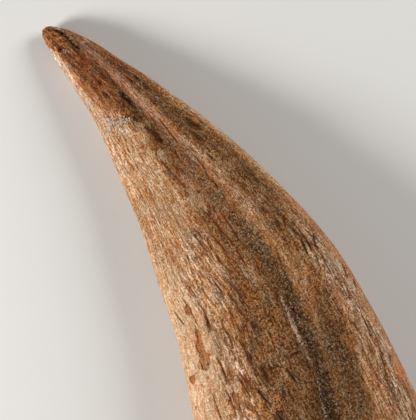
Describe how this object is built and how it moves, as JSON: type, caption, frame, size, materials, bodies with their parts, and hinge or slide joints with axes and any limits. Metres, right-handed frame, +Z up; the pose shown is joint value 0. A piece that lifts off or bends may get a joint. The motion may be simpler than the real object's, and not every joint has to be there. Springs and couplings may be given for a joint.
{
  "type": "fossil spinosaurus claw",
  "caption": "Fossil dinosaur hand claw, curved to a blunt point, with a groove along each flank, a tendon knob and a hollow joint face, lying on its side.",
  "frame": {"origin": "The middle of the lying claw's box, on the surface that it rests on.", "axes": "+X runs from the tip towards the joint face, +Y towards the arched outer edge, and +Z up through the flank that faces up. The claw lies on its other flank, tilted about 7 degrees from its middle plane."},
  "size_m": [0.212, 0.0926, 0.0416],
  "materials": {
    "fossil_bone": "matte, porous tan to brown fossil bone with dark sand in its grooves"
  },
  "bodies": {
    "root": {"claw": "fossil_bone"}
  },
  "joints": []
}
